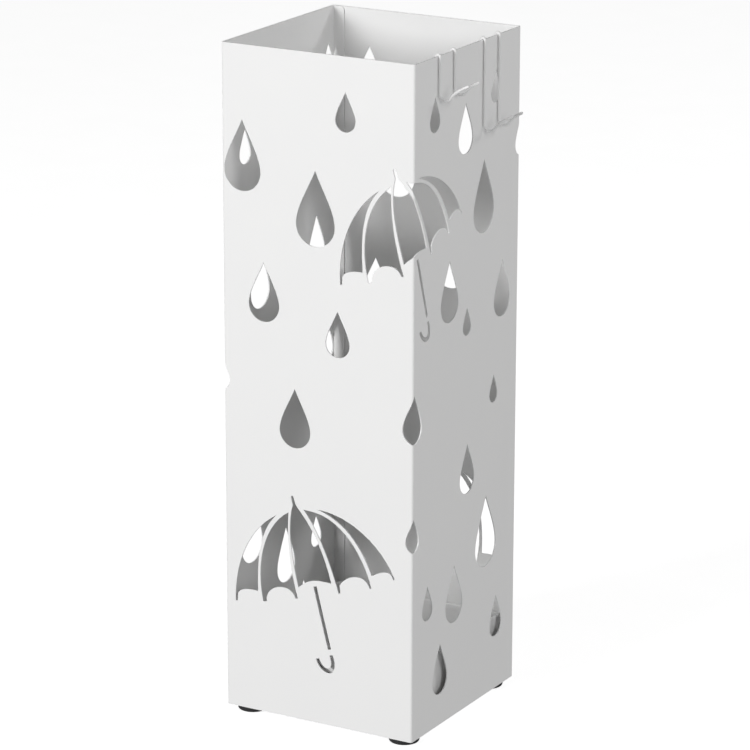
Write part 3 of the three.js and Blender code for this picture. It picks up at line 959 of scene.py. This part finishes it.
def hook_path(low, high):
    """The wire's centreline, from one prong's tip over the rim to the other's."""
    rim = COLUMN_HIGH.z
    outer = COLUMN_HIGH.x + WIRE_CLEARANCE + WIRE
    inner = COLUMN_HIGH.x - SHEET - WIRE_CLEARANCE - WIRE
    arch = (outer - inner) / 2
    y = low.y + WIRE
    curl = Vector((outer + CURL_RADIUS, y, low.z + CURL_RADIUS + WIRE))
    half = prong(Vector((high.x - WIRE, y + HOOK_CLOSING, curl.z + HOOK_RISE)), curl, y)
    half += [Vector((x, y, z)) for x, z in arc((curl.x, curl.z), CURL_RADIUS, CURL_START, -180, 18)]
    over = rim + WIRE_CLEARANCE + WIRE - arch
    half += [Vector((x, y, z)) for x, z in arc(((outer + inner) / 2, over), arch, 0, 180, 16)]
    foot = rim - INNER_LEG
    bend = arc((y + LEG_BEND, foot + LEG_BEND), LEG_BEND, 180, 270, 8)
    half += [Vector((inner, across, z)) for across, z in bend]
    both = low.y + high.y
    return half + [Vector((p.x, both - p.y, p.z)) for p in reversed(half)]


def path_stations(path, radius):
    """Each point of a path with its direction, a side that doesn't twist, and the radius."""
    tangents = []
    for i, point in enumerate(path):
        before = (point - path[i - 1]).normalized() if i else Vector()
        after = (path[i + 1] - point).normalized() if i + 1 < len(path) else Vector()
        tangents.append((before + after).normalized())
    side = tangents[0].orthogonal().normalized()
    stations = []
    for point, tangent in zip(path, tangents):
        side = (side - tangent * side.dot(tangent)).normalized()
        stations.append((point, tangent, side, radius))
    return stations


def round_end(station, direction):
    """Stations that close an end off with a half round."""
    point, tangent, side, radius = station
    angles = [math.pi / 2 * i / TIP_STEPS for i in range(1, TIP_STEPS)]
    return [
        (point + tangent * direction * radius * math.sin(a), tangent, side, radius * math.cos(a))
        for a in angles
    ]


def sweep(mesh, path, radius, sides):
    """A round wire along a path, its ends rounded."""
    stations = path_stations(path, radius)
    stations = round_end(stations[0], -1)[::-1] + stations + round_end(stations[-1], 1)
    angles = [2 * math.pi * i / sides for i in range(sides)]
    loops = []
    for point, tangent, side, size in stations:
        across = tangent.cross(side)
        loops.append([point + (side * math.cos(a) + across * math.sin(a)) * size for a in angles])
    made = rings(mesh, loops)
    for ring, station, direction in ((made[0], stations[0], -1), (made[-1], stations[-1], 1)):
        point, tangent, _, size = station
        end = mesh.verts.new(point + tangent * direction * size * TIP_BULGE)
        for i in range(sides):
            mesh.faces.new((ring[i], ring[(i + 1) % sides], end))


def make_hook(node, name):
    mesh = bmesh.new()
    mesh.verts.layers.float.new("edge")
    sweep(mesh, hook_path(*box_mm(node)), WIRE, WIRE_SIDES)
    return make_piece(name, mesh, PAINT, node)


# ---- Stage ----
FLOOR_RINGS = (0.4, 2.0, 14.0)  # radii
FLOOR_SEGMENTS = 96
SKY_ABOVE = 0.17
SKY_BELOW = 0.44
SKY_BLEND = 0.05  # how far the two mix above and below the horizon
# Each light's direction from the column, its side and its power.
LIGHTS = {
    "key": (Vector((-0.32, -1.0, 0.34)), 1.4, 103.0),
    "side": (Vector((1.0, -0.58, 0.42)), 1.2, 36.0),
    "rim": (Vector((1.0, 0.8, 0.85)), 0.8, 26.0),
}
LIGHT_DISTANCE = 4.0


def make_floor():
    mesh = bmesh.new()
    angles = [2 * math.pi * i / FLOOR_SEGMENTS for i in range(FLOOR_SEGMENTS)]
    loops = [[(radius * math.cos(a), radius * math.sin(a), 0) for a in angles] for radius in FLOOR_RINGS]
    made = rings(mesh, loops)
    mesh.faces.new(made[0])
    data = bpy.data.meshes.new("floor")
    mesh.to_mesh(data)
    mesh.free()
    data.materials.append(make_floor_finish())
    floor = bpy.data.objects.new("floor", data)
    bpy.context.scene.collection.objects.link(floor)
    floor.visible_diffuse = False
    floor.visible_glossy = False


def make_light(name, direction, side, power):
    data = bpy.data.lights.new(name, "AREA")
    data.shape = "SQUARE"
    data.size = side
    data.energy = power
    light = bpy.data.objects.new(name, data)
    bpy.context.scene.collection.objects.link(light)
    light.location = COLUMN_CENTRE * MM + direction.normalized() * LIGHT_DISTANCE
    light.rotation_euler = direction.to_track_quat("Z", "Y").to_euler()


def make_sky():
    """Soft white light from above and, as from a white table, from below."""
    world = bpy.data.worlds.new("studio")
    world.use_nodes = True
    nodes = world.node_tree.nodes
    links = world.node_tree.links
    direction = nodes.new("ShaderNodeTexCoord")
    height = nodes.new("ShaderNodeSeparateXYZ")
    strength = nodes.new("ShaderNodeMapRange")
    strength.inputs["From Min"].default_value = -SKY_BLEND
    strength.inputs["From Max"].default_value = SKY_BLEND
    strength.inputs["To Min"].default_value = SKY_BELOW
    strength.inputs["To Max"].default_value = SKY_ABOVE
    background = nodes["Background"]
    background.inputs["Color"].default_value = (1, 1, 1, 1)
    links.new(direction.outputs["Generated"], height.inputs["Vector"])
    links.new(height.outputs["Z"], strength.inputs["Value"])
    links.new(strength.outputs["Result"], background.inputs["Strength"])
    bpy.context.scene.world = world


def make_stage():
    make_floor()
    for name, (direction, side, power) in LIGHTS.items():
        make_light(name, direction, side, power)
    make_sky()
    bpy.context.scene.view_settings.view_transform = "Standard"


# ---- Assembly ----
make_camera()
make_stage()
make_column()
make_base_pan()
make_tray()
for corner_place in PLACES:
    make_foot(corner_place)
    make_washer(corner_place)
    make_screw(corner_place)
    make_nut(corner_place)
make_hook("hook_short", "short_wire_hook")
make_hook("hook_long", "long_wire_hook")
